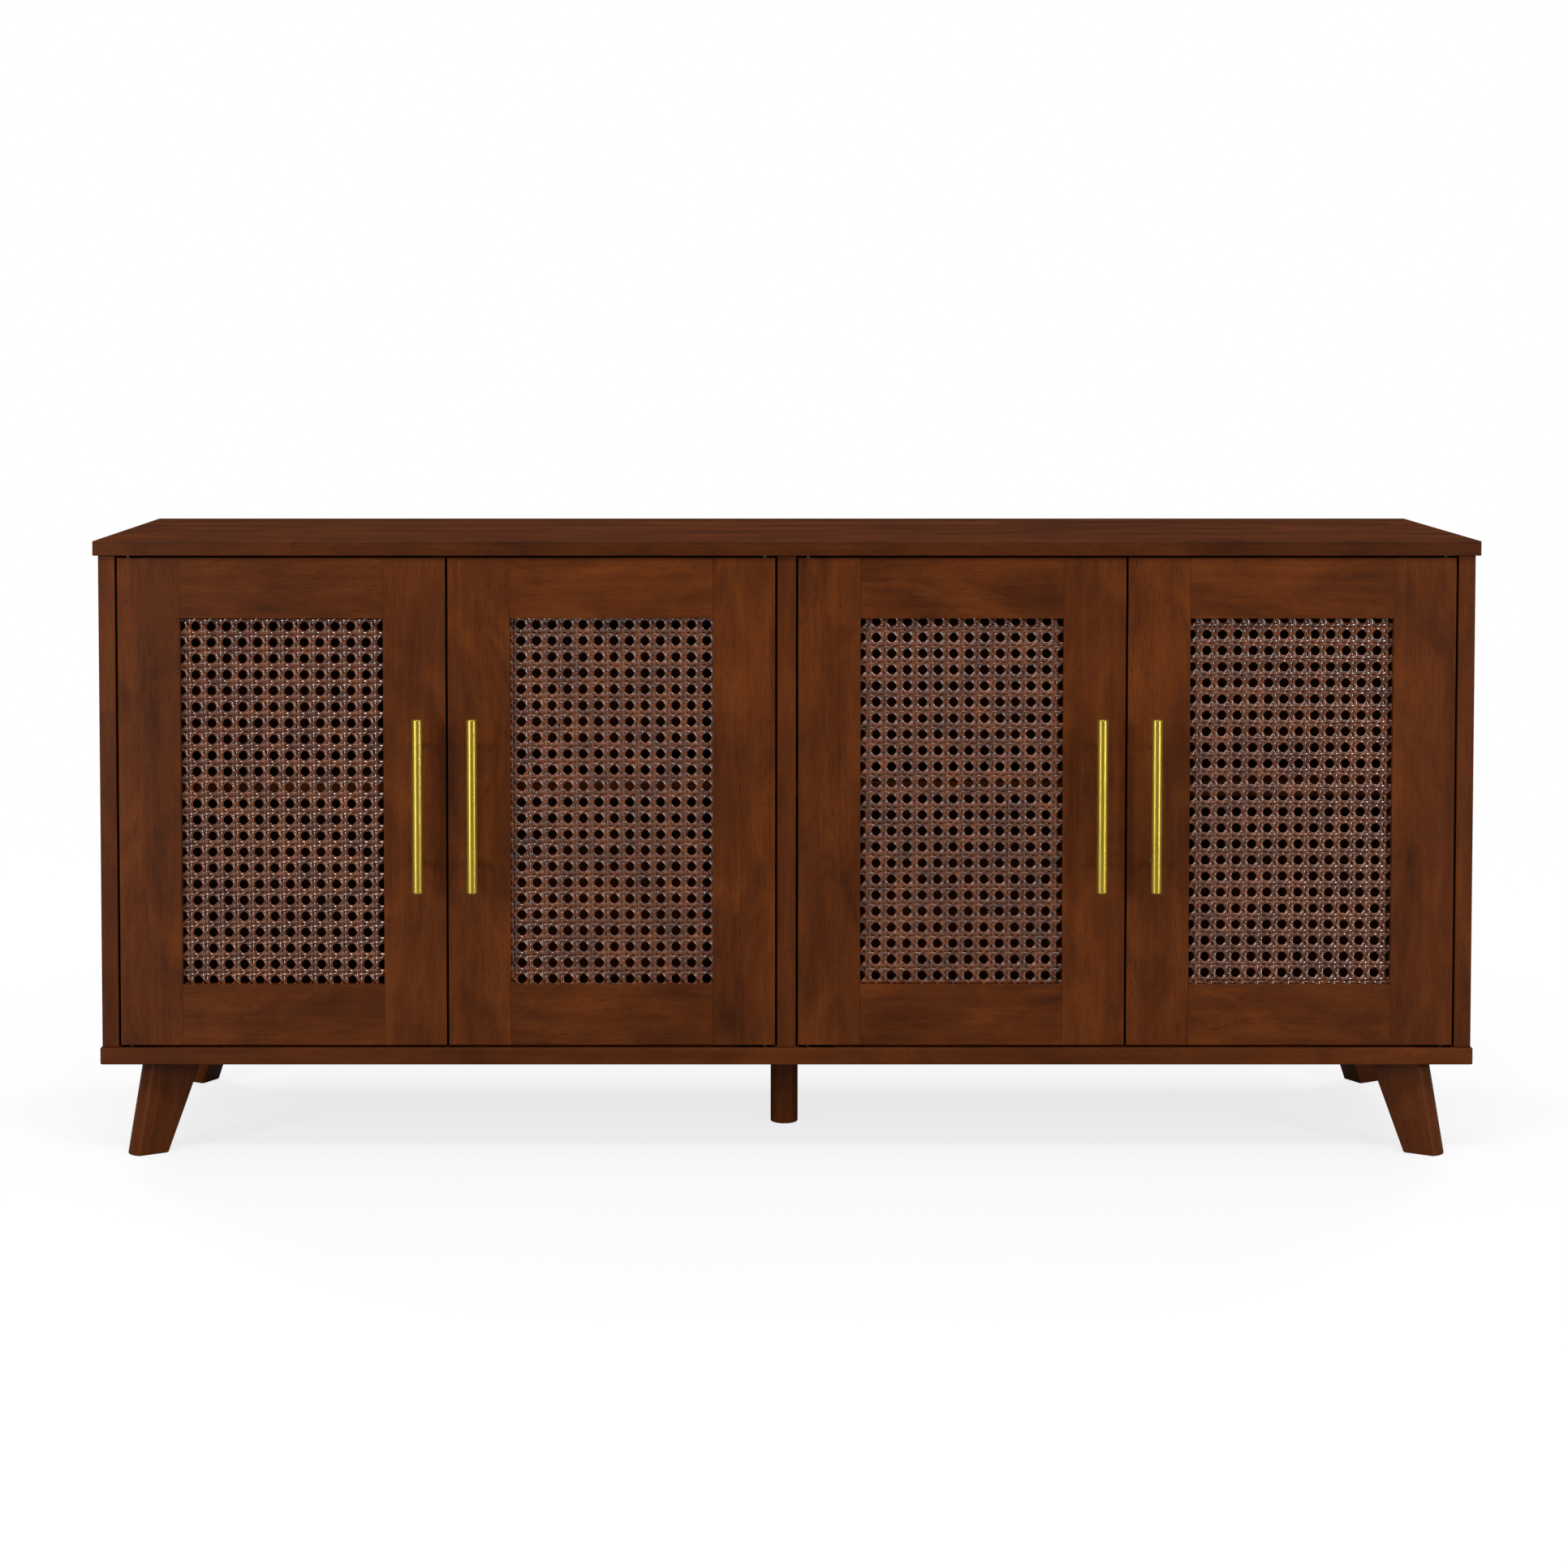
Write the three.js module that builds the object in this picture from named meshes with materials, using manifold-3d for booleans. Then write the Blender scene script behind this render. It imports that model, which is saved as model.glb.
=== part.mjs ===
// Four-door sideboard: a stained wood case on four splayed legs and one middle leg, with framed cane
// doors on pivot hinges and brass bar pulls.
// Millimetres, +Z up, doors facing -Y. The origin is on the floor, below the middle of the outline.
import * as THREE from 'three';
import { mergeVertices } from 'three/addons/utils/BufferGeometryUtils.js';
import Module from 'manifold-3d';

const wasm = await Module();
wasm.setup();

// Case
const TOP_W = 1500;
const DEPTH = 400;
const TOP_T = 16;
const BOARD_T = 18;
const SIDE_H = 537;
const SIDE_INSET = 5; // side panels behind the ends of the top
const BASE_INSET = 3; // base behind the ends of the top
const BASE_CORNER = 3.5;
const DIVIDER_T = 20;
const SETBACK = 5; // case front and door faces behind the front of the top
const BACK_T = 5;
const BACK_LIP = 8; // rebate in the side panels that takes the back panel
const SHELF_T = 16;
const SHELF_HOUSING = 5;
const SHELF_SETBACK = 90; // behind the door faces
const SHELF_TOP = 400; // above the floor

// Doors
const DOOR_T = 18;
const DOOR_GAP = 2.5;
const STILE_W = 67.5;
const RAIL_W = 66;
const SEAT_LIP = 10; // rebate behind the opening that takes the cane
const SEAT_FACE = 7; // door face to the front of that rebate
const CANE_T = 3;

// Pulls
const BAR_R = 6;
const BAR_L = 188;
const POST_R = 4;
const POST_SPACING = 128;
const BAR_OUT = 30; // bar centre in front of the door face
const BAR_EDGE = 28; // bar centre from the free edge of the door

// Pivot hinges, let into the ends of the hinge stile and into the top and the base
const PIVOT_EDGE = 11; // pin centre from the hinge edge
const PIVOT_BACK = 6; // pin centre behind the door face
const PLATE_L = 38;
const PLATE_W = 12;
const PLATE_FRONT = 1.2; // plate edge behind the door face
const PLATE_T = 2;
const PIN_R = 2.5;
const PIN_L = 8.5;
const SOCKET_R = 2.8;
const SOCKET_T = 7;

// Magnetic catches
const CATCH = [52, 14, 12];
const STRIKE = [18, 1, 14];
const STRIKE_DROP = 2; // strike below the top of the door
const STRIKE_EDGE = 6; // strike from the free edge

// Legs
const LEG_H = 104;
const LEG_T = 30; // width of the outer face
const LEG_CROWN = 20; // radius of the outer face, which meets the sides at an arris
const LEG_TURN = 30; // degrees from the long axis
const LEG_FOOT = [707, 171]; // LEG_T / 2 inside the outer face at the floor, from the middle
const LEG_REACH = 25; // from that point to the inner face, at the floor
const LEG_SPLAY = 0.18; // lean of the outer face, per unit of height
const LEG_TAPER = 0.3985; // lean of the inner face
const MIDDLE_LEG_R = 15.5;
const MIDDLE_LEG_FORWARD = 30;

const GAP = 0.3; // between pieces that touch
const OVER = 1; // how far a cutter runs past the face that it opens
const ROUND = 24;

// Levels and planes
const REACH = BAR_OUT + BAR_R - SETBACK;
const Y_MIDDLE = REACH / 2;
const Y_FRONT = Y_MIDDLE - DEPTH / 2;
const Y_REAR = Y_MIDDLE + DEPTH / 2;
const Y_FACE = Y_FRONT + SETBACK;
const Y_BACK = Y_REAR - SETBACK;
const Z_BASE = LEG_H + BOARD_T;
const Z_TOP = Z_BASE + SIDE_H;
const X_SIDE = TOP_W / 2 - SIDE_INSET;
const X_BAY = X_SIDE - BOARD_T;
const DOOR_W = (X_BAY - DIVIDER_T / 2 - 3 * DOOR_GAP) / 2;
const DOOR_H = SIDE_H - 2 * DOOR_GAP;

const stain = new THREE.MeshStandardMaterial({ color: 0x5c2d1a, roughness: 0.42 });
const carcass = new THREE.MeshStandardMaterial({ color: 0x55291a, roughness: 0.5 });
const cane = new THREE.MeshStandardMaterial({ color: 0x6e3219, roughness: 0.25 });
const brass = new THREE.MeshStandardMaterial({ color: 0xc9a24a, roughness: 0.22, metalness: 1 });
const steel = new THREE.MeshStandardMaterial({ color: 0x9a9a98, roughness: 0.35, metalness: 1 });
const plastic = new THREE.MeshStandardMaterial({ color: 0x2a1a12, roughness: 0.5 });

// A closed mesh with only positions, its shared corners merged.
function merged(geometry) {
  geometry.deleteAttribute('normal');
  geometry.deleteAttribute('uv');
  return mergeVertices(geometry, 1e-4);
}

function solid(geometry) {
  const plain = merged(geometry);
  const vertProperties = Float32Array.from(plain.attributes.position.array);
  const triVerts = Uint32Array.from(plain.index.array);
  return new wasm.Manifold(new wasm.Mesh({ numProp: 3, vertProperties, triVerts }));
}

function shapeOf(manifold) {
  const { vertProperties, triVerts, numProp } = manifold.getMesh();
  const geometry = new THREE.BufferGeometry();
  const positions = new Float32Array((vertProperties.length / numProp) * 3);
  for (let i = 0; i < positions.length / 3; i += 1) {
    positions.set(vertProperties.subarray(i * numProp, i * numProp + 3), i * 3);
  }
  geometry.setAttribute('position', new THREE.BufferAttribute(positions, 3));
  geometry.setIndex(new THREE.BufferAttribute(Uint32Array.from(triVerts), 1));
  return geometry;
}

function named(name, geometry, material, position = [0, 0, 0]) {
  const mesh = new THREE.Mesh(geometry, material);
  mesh.name = name;
  mesh.position.set(...position);
  return mesh;
}

function middleOf([low, high]) {
  return high.map((value, axis) => (value + low[axis]) / 2);
}

// A box between two corners, seen from a chosen origin.
function boxAt([low, high], origin) {
  const size = high.map((value, axis) => value - low[axis]);
  const middle = middleOf([low, high]).map((value, axis) => value - origin[axis]);
  return new THREE.BoxGeometry(...size).translate(...middle);
}

// A board between two corners, less the boxes that are cut out of it.
function board(name, material, limits, cuts = []) {
  const centre = middleOf(limits);
  let body = solid(boxAt(limits, centre));
  for (const cut of cuts) {
    body = body.subtract(solid(boxAt(cut, centre)));
  }
  return named(name, shapeOf(body), material, centre);
}

// A cylinder whose axis stands along +Z, from z = low to z = high.
function upright(radius, low, high) {
  const geometry = new THREE.CylinderGeometry(radius, radius, high - low, ROUND);
  return geometry.rotateX(Math.PI / 2).translate(0, 0, (low + high) / 2);
}

// The four doors from left to right: the x of the hinge edge and the way that the door runs from it.
const DOORS = [
  { name: 'door_1', edge: -X_BAY + DOOR_GAP, hand: 1 },
  { name: 'door_2', edge: -DIVIDER_T / 2 - DOOR_GAP, hand: -1 },
  { name: 'door_3', edge: DIVIDER_T / 2 + DOOR_GAP, hand: 1 },
  { name: 'door_4', edge: X_BAY - DOOR_GAP, hand: -1 },
];

// Limits of a hinge plate in plan. Its pin stands at (0, 0), and hand is the way that the door runs.
function plateLimits(hand, low, high, grow = 0) {
  const near = -hand * (PIVOT_EDGE - PLATE_FRONT + grow);
  const far = hand * (PLATE_L - PIVOT_EDGE + PLATE_FRONT + grow);
  const front = PLATE_FRONT - PIVOT_BACK;
  return [
    [Math.min(near, far), front - grow, low],
    [Math.max(near, far), front + PLATE_W + grow, high],
  ];
}

function shifted([low, high], x, y) {
  return [
    [low[0] + x, low[1] + y, low[2]],
    [high[0] + x, high[1] + y, high[2]],
  ];
}

function pivotAt(door) {
  return [door.edge + door.hand * PIVOT_EDGE, Y_FACE + PIVOT_BACK];
}

// Pockets for the hinge sockets, open at the plane z = mouth and running up or down from it.
function socketPockets(mouth, way) {
  const open = mouth - way * OVER;
  const bottom = mouth + way * (SOCKET_T + 2 * GAP);
  return DOORS.map((door) => {
    const limits = plateLimits(door.hand, Math.min(open, bottom), Math.max(open, bottom), GAP);
    return shifted(limits, ...pivotAt(door));
  });
}

function socket(name, door, mouth, way) {
  const inner = mouth + way * SOCKET_T;
  const [low, high] = [Math.min(mouth, inner), Math.max(mouth, inner)];
  const block = solid(boxAt(plateLimits(door.hand, low, high), [0, 0, mouth]));
  const hole = solid(upright(SOCKET_R, low - mouth - OVER, high - mouth + OVER));
  return named(name, shapeOf(block.subtract(hole)), steel, [...pivotAt(door), mouth]);
}

function basePanel() {
  const halfW = TOP_W / 2 - BASE_INSET;
  const halfD = DEPTH / 2;
  const r = BASE_CORNER;
  const outline = new THREE.Shape();
  outline.moveTo(halfW - r, -halfD);
  outline.absarc(halfW - r, -halfD + r, r, -Math.PI / 2, 0);
  outline.absarc(halfW - r, halfD - r, r, 0, Math.PI / 2);
  outline.absarc(-halfW + r, halfD - r, r, Math.PI / 2, Math.PI);
  outline.absarc(-halfW + r, -halfD + r, r, Math.PI, Math.PI * 1.5);
  const slab = new THREE.ExtrudeGeometry(outline, { depth: BOARD_T, bevelEnabled: false, curveSegments: 5 });
  let body = solid(slab.translate(0, Y_MIDDLE, LEG_H));
  for (const pocket of socketPockets(Z_BASE, -1)) {
    body = body.subtract(solid(boxAt(pocket, [0, 0, 0])));
  }
  return named('base_panel', shapeOf(body), stain);
}

// The housing that one end of a shelf sits in, cut from plane x = a to plane x = b.
function housing(a, b) {
  const front = Y_FACE + SHELF_SETBACK - GAP;
  return [
    [Math.min(a, b), front, SHELF_TOP - SHELF_T - GAP],
    [Math.max(a, b), Y_REAR, SHELF_TOP + GAP],
  ];
}

function sidePanel(name, side) {
  const inner = side * X_BAY;
  const outer = side * X_SIDE;
  const low = [Math.min(inner, outer), Y_FACE, Z_BASE + GAP];
  const high = [Math.max(inner, outer), Y_BACK, Z_TOP - GAP];
  const past = inner - side * OVER;
  const lip = inner + side * (BACK_LIP + GAP);
  const rebate = [
    [Math.min(past, lip), Y_BACK - BACK_T - GAP, Z_BASE],
    [Math.max(past, lip), Y_BACK + OVER, Z_TOP],
  ];
  return board(name, stain, [low, high], [housing(past, inner + side * (SHELF_HOUSING + GAP)), rebate]);
}

function divider() {
  const half = DIVIDER_T / 2;
  const low = [-half, Y_FACE, Z_BASE + GAP];
  const high = [half, Y_BACK - BACK_T - GAP, Z_TOP - GAP];
  const cuts = [-1, 1].map((side) => housing(side * (half + OVER), side * (half - SHELF_HOUSING - GAP)));
  return board('centre_divider', stain, [low, high], cuts);
}

function shelf(name, side) {
  const ends = [side * (DIVIDER_T / 2 - SHELF_HOUSING), side * (X_BAY + SHELF_HOUSING)];
  return board(name, carcass, [
    [Math.min(...ends), Y_FACE + SHELF_SETBACK, SHELF_TOP - SHELF_T],
    [Math.max(...ends), Y_BACK - BACK_T - 2 * GAP, SHELF_TOP],
  ]);
}

function catchBlock(name, side) {
  const x = (side * (X_BAY + DIVIDER_T / 2)) / 2;
  const front = Y_FACE + DOOR_T + STRIKE[1] + 2 * GAP;
  const low = [x - CATCH[0] / 2, front, Z_TOP - GAP - CATCH[2]];
  return board(name, plastic, [low, low.map((value, axis) => value + CATCH[axis])]);
}

// A leg: the crowned outer face and the inner face lean inwards at their own rates as the leg rises.
function leg(name, sideX, sideY) {
  const r = LEG_T / 2;
  const crown = Math.asin(r / LEG_CROWN);
  const centre = r - LEG_CROWN;
  const outline = new THREE.Shape();
  outline.moveTo(-LEG_REACH, -r);
  outline.lineTo(centre + LEG_CROWN * Math.cos(crown), -r);
  outline.absarc(centre, 0, LEG_CROWN, -crown, crown);
  outline.lineTo(-LEG_REACH, r);
  outline.closePath();
  const options = { depth: LEG_H - GAP, bevelEnabled: false, curveSegments: 12 };
  const geometry = merged(new THREE.ExtrudeGeometry(outline, options));
  const points = geometry.attributes.position;
  for (let i = 0; i < points.count; i += 1) {
    const lean = points.getX(i) < -1 ? LEG_TAPER : LEG_SPLAY;
    points.setX(i, points.getX(i) - lean * points.getZ(i));
  }
  const mesh = named(name, geometry, stain, [sideX * LEG_FOOT[0], Y_MIDDLE + sideY * LEG_FOOT[1], 0]);
  const turn = THREE.MathUtils.degToRad(LEG_TURN);
  mesh.rotation.z = Math.atan2(sideY * Math.sin(turn), sideX * Math.cos(turn));
  return mesh;
}

function pull(name, x) {
  const half = POST_SPACING / 2;
  let body = solid(upright(BAR_R, -BAR_L / 2, BAR_L / 2));
  for (const z of [-half, half]) {
    const post = new THREE.CylinderGeometry(POST_R, POST_R, BAR_OUT - GAP, ROUND);
    body = body.add(solid(post.translate(0, (BAR_OUT - GAP) / 2, z)));
  }
  return named(name, shapeOf(body), brass, [x, -BAR_OUT, DOOR_H / 2]);
}

function pivotPlate(name, x, z, way, hand) {
  const inner = -way * PLATE_T;
  const plate = solid(boxAt(plateLimits(hand, Math.min(0, inner), Math.max(0, inner)), [0, 0, 0]));
  const tip = way * PIN_L;
  const root = -way * (PLATE_T / 2);
  const pin = solid(upright(PIN_R, Math.min(root, tip), Math.max(root, tip)));
  return named(name, shapeOf(plate.add(pin)), steel, [x, PIVOT_BACK, z]);
}

// One door in its own group: x runs from the hinge edge, y back from the face, z up from the bottom.
function door({ name, edge, hand }) {
  const group = new THREE.Group();
  group.position.set(edge, Y_FACE, Z_BASE + DOOR_GAP);
  const across = (a, b) => [Math.min(hand * a, hand * b), Math.max(hand * a, hand * b)];
  const limits = (a, b, front, rear, low, high) => {
    const [left, right] = across(a, b);
    return [[left, front, low], [right, rear, high]];
  };
  const seat = limits(
    STILE_W - SEAT_LIP,
    DOOR_W - STILE_W + SEAT_LIP,
    SEAT_FACE,
    DOOR_T + OVER,
    RAIL_W - SEAT_LIP,
    DOOR_H - RAIL_W + SEAT_LIP,
  );
  const x = hand * PIVOT_EDGE;
  const recesses = [[-OVER, PLATE_T + GAP], [DOOR_H - PLATE_T - GAP, DOOR_H + OVER]].map(([low, high]) =>
    shifted(plateLimits(hand, low, high, GAP), x, PIVOT_BACK));
  const pullStile = limits(DOOR_W - STILE_W, DOOR_W, 0, DOOR_T, 0, DOOR_H);
  const rail = (low, high) => limits(STILE_W + GAP, DOOR_W - STILE_W - GAP, 0, DOOR_T, low, high);
  const sheet = limits(
    STILE_W - SEAT_LIP + GAP,
    DOOR_W - STILE_W + SEAT_LIP - GAP,
    SEAT_FACE + GAP,
    SEAT_FACE + GAP + CANE_T,
    RAIL_W - SEAT_LIP + GAP,
    DOOR_H - RAIL_W + SEAT_LIP - GAP,
  );
  const strike = limits(
    DOOR_W - STRIKE_EDGE - STRIKE[0],
    DOOR_W - STRIKE_EDGE,
    DOOR_T + GAP,
    DOOR_T + GAP + STRIKE[1],
    DOOR_H - STRIKE_DROP - STRIKE[2],
    DOOR_H - STRIKE_DROP,
  );
  group.add(
    board(`${name}_hinge_stile`, stain, limits(0, STILE_W, 0, DOOR_T, 0, DOOR_H), [seat, ...recesses]),
    board(`${name}_pull_stile`, stain, pullStile, [seat]),
    board(`${name}_top_rail`, stain, rail(DOOR_H - RAIL_W, DOOR_H), [seat]),
    board(`${name}_bottom_rail`, stain, rail(0, RAIL_W), [seat]),
    board(`${name}_cane`, cane, sheet),
    pull(`${name}_pull`, hand * (DOOR_W - BAR_EDGE)),
    pivotPlate(`${name}_top_pivot`, x, DOOR_H, 1, hand),
    pivotPlate(`${name}_bottom_pivot`, x, 0, -1, hand),
    board(`${name}_strike`, steel, strike),
  );
  return group;
}

const sideboard = new THREE.Group();
sideboard.add(
  board(
    'top_panel',
    stain,
    [[-TOP_W / 2, Y_FRONT, Z_TOP], [TOP_W / 2, Y_REAR, Z_TOP + TOP_T]],
    socketPockets(Z_TOP, 1),
  ),
  basePanel(),
  sidePanel('side_panel_left', -1),
  sidePanel('side_panel_right', 1),
  divider(),
  board('back_panel', carcass, [
    [-X_BAY - BACK_LIP, Y_BACK - BACK_T, Z_BASE + GAP],
    [X_BAY + BACK_LIP, Y_BACK, Z_TOP - GAP],
  ]),
  shelf('shelf_left', -1),
  shelf('shelf_right', 1),
  catchBlock('catch_left', -1),
  catchBlock('catch_right', 1),
  leg('leg_front_left', -1, -1),
  leg('leg_front_right', 1, -1),
  leg('leg_rear_left', -1, 1),
  leg('leg_rear_right', 1, 1),
  named('leg_middle', upright(MIDDLE_LEG_R, 0, LEG_H - GAP), stain, [0, Y_MIDDLE - MIDDLE_LEG_FORWARD, 0]),
);
for (const item of DOORS) {
  sideboard.add(
    socket(`${item.name}_top_socket`, item, Z_TOP, 1),
    socket(`${item.name}_bottom_socket`, item, Z_BASE, -1),
    door(item),
  );
}

export default sideboard;
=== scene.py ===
"""Cane-door sideboard: finished surfaces, materials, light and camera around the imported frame."""
import math

import bmesh
import bpy
import numpy as np
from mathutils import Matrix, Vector


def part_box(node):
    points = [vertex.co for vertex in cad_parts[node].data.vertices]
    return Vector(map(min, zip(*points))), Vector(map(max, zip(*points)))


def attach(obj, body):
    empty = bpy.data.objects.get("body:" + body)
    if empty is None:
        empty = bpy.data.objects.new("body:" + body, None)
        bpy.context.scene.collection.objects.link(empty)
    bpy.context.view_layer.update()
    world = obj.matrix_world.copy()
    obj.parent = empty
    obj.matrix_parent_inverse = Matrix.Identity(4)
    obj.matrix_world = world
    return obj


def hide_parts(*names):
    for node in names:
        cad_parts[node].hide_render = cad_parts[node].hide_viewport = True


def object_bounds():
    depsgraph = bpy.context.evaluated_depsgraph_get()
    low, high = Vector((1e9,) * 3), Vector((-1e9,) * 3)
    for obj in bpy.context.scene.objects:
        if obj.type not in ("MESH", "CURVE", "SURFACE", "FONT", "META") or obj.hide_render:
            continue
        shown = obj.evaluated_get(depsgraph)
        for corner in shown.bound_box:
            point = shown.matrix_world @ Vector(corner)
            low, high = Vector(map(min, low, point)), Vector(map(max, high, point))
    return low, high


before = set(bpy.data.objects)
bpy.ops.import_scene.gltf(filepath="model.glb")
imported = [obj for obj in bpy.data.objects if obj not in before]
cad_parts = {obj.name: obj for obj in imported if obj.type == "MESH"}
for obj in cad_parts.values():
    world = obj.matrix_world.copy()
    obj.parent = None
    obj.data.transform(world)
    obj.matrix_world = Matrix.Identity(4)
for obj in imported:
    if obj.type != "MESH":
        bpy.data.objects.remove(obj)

MM = 0.001
CAD_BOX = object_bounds()
CASE_MIDDLE_Y = (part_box("top_panel")[0].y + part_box("top_panel")[1].y) / 2
DOORS = ("door_1", "door_2", "door_3", "door_4")
ROUND = 64  # faces round a turned piece
POST_ROUND = 32  # faces round a pull's post

# ---------------------------------------------------------------- node helpers


def put(tree, kind, settings=None, **sockets):
    """Adds a node. Sockets are given by name, or as _0, _1 by number; a socket value makes a link."""
    made = tree.nodes.new(kind)
    for key, value in (settings or {}).items():
        setattr(made, key, value)
    for key, value in sockets.items():
        name = int(key[1:]) if key.startswith("_") else key.replace("_", " ")
        target = made.inputs[name]
        if isinstance(value, bpy.types.NodeSocket):
            tree.links.new(value, target)
        else:
            target.default_value = value
    return made


def maths(tree, operation, a, b=0.0, c=0.0, clamp=False):
    """One Math node; returns its output."""
    made = put(tree, "ShaderNodeMath", {"operation": operation, "use_clamp": clamp}, _0=a, _1=b, _2=c)
    return made.outputs[0]


def scaled(tree, vector, factors):
    """A vector multiplied by three fixed factors."""
    made = put(tree, "ShaderNodeVectorMath", {"operation": "MULTIPLY"}, _0=vector, _1=factors)
    return made.outputs[0]


def noise(tree, vector, scale=1.0, detail=2.0, rough=0.5, distort=0.0):
    """Noise value from 0 to 1, most of it between 0.3 and 0.7."""
    made = put(tree, "ShaderNodeTexNoise", None, Vector=vector, Scale=scale, Detail=detail)
    made.inputs["Roughness"].default_value = rough
    made.inputs["Distortion"].default_value = distort
    return made.outputs["Fac"]


def stretch(tree, value, low, high, to_low=0.0, to_high=1.0):
    """Maps low..high onto to_low..to_high and clamps."""
    made = put(tree, "ShaderNodeMapRange", {"clamp": True}, Value=value)
    for key, number in (("From Min", low), ("From Max", high), ("To Min", to_low), ("To Max", to_high)):
        made.inputs[key].default_value = number
    return made.outputs["Result"]


def ramp(tree, value, stops):
    """Colour ramp through (position, (r, g, b)) stops, in linear colour."""
    made = put(tree, "ShaderNodeValToRGB", None, Fac=value)
    elements = made.color_ramp.elements
    while len(elements) < len(stops):
        elements.new(0.5)
    for element, (position, colour) in zip(elements, stops):
        element.position = position
        element.color = (*colour, 1.0)
    return made.outputs["Color"]


def mixed(tree, factor, a, b, blend="MIX"):
    """Colour mix; returns the result."""
    made = put(tree, "ShaderNodeMix", {"data_type": "RGBA", "blend_type": blend})
    for index, value in ((0, factor), (6, a), (7, b)):
        if isinstance(value, bpy.types.NodeSocket):
            tree.links.new(value, made.inputs[index])
        elif index == 0:
            made.inputs[index].default_value = value
        else:
            made.inputs[index].default_value = (*value, 1.0)
    return made.outputs[2]


def new_group(name, inputs, outputs):
    """An empty shader node group with named sockets; returns the tree and its two end nodes."""
    tree = bpy.data.node_groups.new(name, "ShaderNodeTree")
    for side, sockets in (("INPUT", inputs), ("OUTPUT", outputs)):
        for label, kind in sockets:
            tree.interface.new_socket(label, in_out=side, socket_type=kind)
    return tree, tree.nodes.new("NodeGroupInput"), tree.nodes.new("NodeGroupOutput")


def srgb(r, g, b):
    """Linear colour from 0-255 display values."""
    values = np.array([r, g, b]) / 255.0
    return tuple(np.where(values <= 0.04045, values / 12.92, ((values + 0.055) / 1.055) ** 2.4).tolist())


# ---------------------------------------------------------------- materials

FLOOR_GLOW = (0.8, 1.0)  # share of plain white in the floor the camera sees, near and far
FLOOR_BOUNCE = (0.3, 0.3, 0.3)  # what the floor gives back to the object
STAIN_DARK = srgb(54, 24, 8)
STAIN_MID = srgb(88, 42, 13)
STAIN_LIGHT = srgb(114, 58, 20)
STAVE_WIDE = 0.048  # metres across one glued stave
STAVE_LONG = 0.46  # metres from one finger joint to the next
FINGER = 0.0022  # half the pitch of a finger joint's teeth, in metres


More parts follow.
